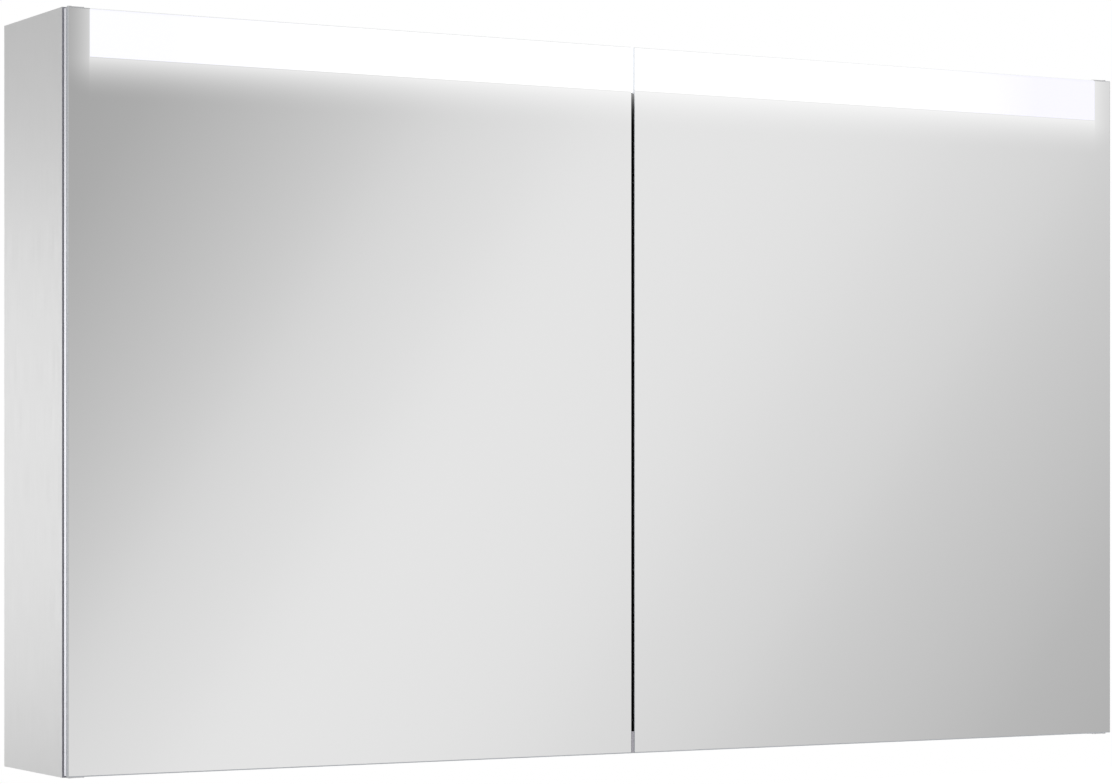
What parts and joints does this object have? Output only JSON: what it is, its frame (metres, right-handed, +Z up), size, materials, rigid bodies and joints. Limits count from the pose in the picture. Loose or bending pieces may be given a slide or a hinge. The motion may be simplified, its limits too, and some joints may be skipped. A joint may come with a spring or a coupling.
{
  "type": "mirror medicine cabinet",
  "caption": "Wall-hung mirror cabinet with mirrored doors on end pivots, a lit band along the top, glass shelves, sockets and a light button.",
  "frame": {"origin": "centre of the back panel's rear face, on the wall", "axes": "+X to the right facing the doors, +Y into the wall, +Z up; the doors face -Y"},
  "size_m": [1.2, 0.16, 0.702],
  "materials": {
    "body_aluminium": "satin anodised",
    "profile_aluminium": "satin anodised",
    "door_frame": "satin anodised",
    "mirror_glass": "polished silvered glass",
    "clear_glass": "clear toughened glass, polished edges",
    "opal_plastic": "opal, lit from behind",
    "steel": "brushed",
    "black_rubber": "matt black",
    "white_plastic": "fine satin",
    "grey_plastic": "matt",
    "black_plastic": "matt",
    "circuit_board": "white solder mask"
  },
  "bodies": {
    "cabinet": {"bottom_panel": "profile_aluminium", "top_panel": "profile_aluminium", "centre_partition": "profile_aluminium", "light_housing": "profile_aluminium", "back_panel": "body_aluminium", "back_rail": "body_aluminium", "ceiling_panel": "body_aluminium", "partition_seal": "black_rubber", "light_diffuser": "opal_plastic", "led_strip": "circuit_board", "led_driver": "white_plastic", "junction_box": "white_plastic", "power_unit_box": "white_plastic", "power_unit_plate": "white_plastic", "left_socket": "white_plastic", "right_socket": "white_plastic", "cable_entry": "black_plastic", "power_cable": "black_plastic", "seal_foot": "grey_plastic", "left_side_shell": "body_aluminium", "left_side_liner": "body_aluminium", "left_rear_mirror": "mirror_glass", "left_wall_hanger": "steel", "left_upper_pivot": "steel", "left_lower_pivot": "steel", "left_magnet_catch": "grey_plastic", "left_lower_shelf": "clear_glass", "left_lower_inner_rail": "steel", "left_lower_outer_rail": "steel", "left_upper_shelf": "clear_glass", "left_upper_inner_rail": "steel", "left_upper_outer_rail": "steel", "right_side_shell": "body_aluminium", "right_side_liner": "body_aluminium", "right_rear_mirror": "mirror_glass", "right_wall_hanger": "steel", "right_upper_pivot": "steel", "right_lower_pivot": "steel", "right_magnet_catch": "grey_plastic", "right_lower_shelf": "clear_glass", "right_lower_inner_rail": "steel", "right_lower_outer_rail": "steel", "right_upper_shelf": "clear_glass", "right_upper_inner_rail": "steel", "right_upper_outer_rail": "steel"},
    "left_door": {"left_front_mirror": "mirror_glass", "left_inner_mirror": "mirror_glass", "left_outer_stile": "door_frame", "left_meeting_stile": "door_frame", "left_bottom_rail": "door_frame", "left_top_rail": "door_frame", "left_strike_plate": "steel"},
    "right_door": {"right_front_mirror": "mirror_glass", "right_inner_mirror": "mirror_glass", "right_outer_stile": "door_frame", "right_meeting_stile": "door_frame", "right_bottom_rail": "door_frame", "right_top_rail": "door_frame", "right_strike_plate": "steel"},
    "button": {"light_button": "grey_plastic"}
  },
  "joints": [
    {"name": "left_door_hinge", "type": "hinge", "parent": "cabinet", "child": "left_door", "pos_m": [-0.596, -0.1536, 0], "axis": [0, 0, -1], "range_deg": [0, 110]},
    {"name": "right_door_hinge", "type": "hinge", "parent": "cabinet", "child": "right_door", "pos_m": [0.596, -0.1536, 0], "axis": [0, 0, 1], "range_deg": [0, 110]},
    {"name": "light_button_push", "type": "slide", "parent": "cabinet", "child": "button", "axis": [0, 1, 0], "range_m": [0, 0.002], "stiffness_N_per_m": 400}
  ]
}
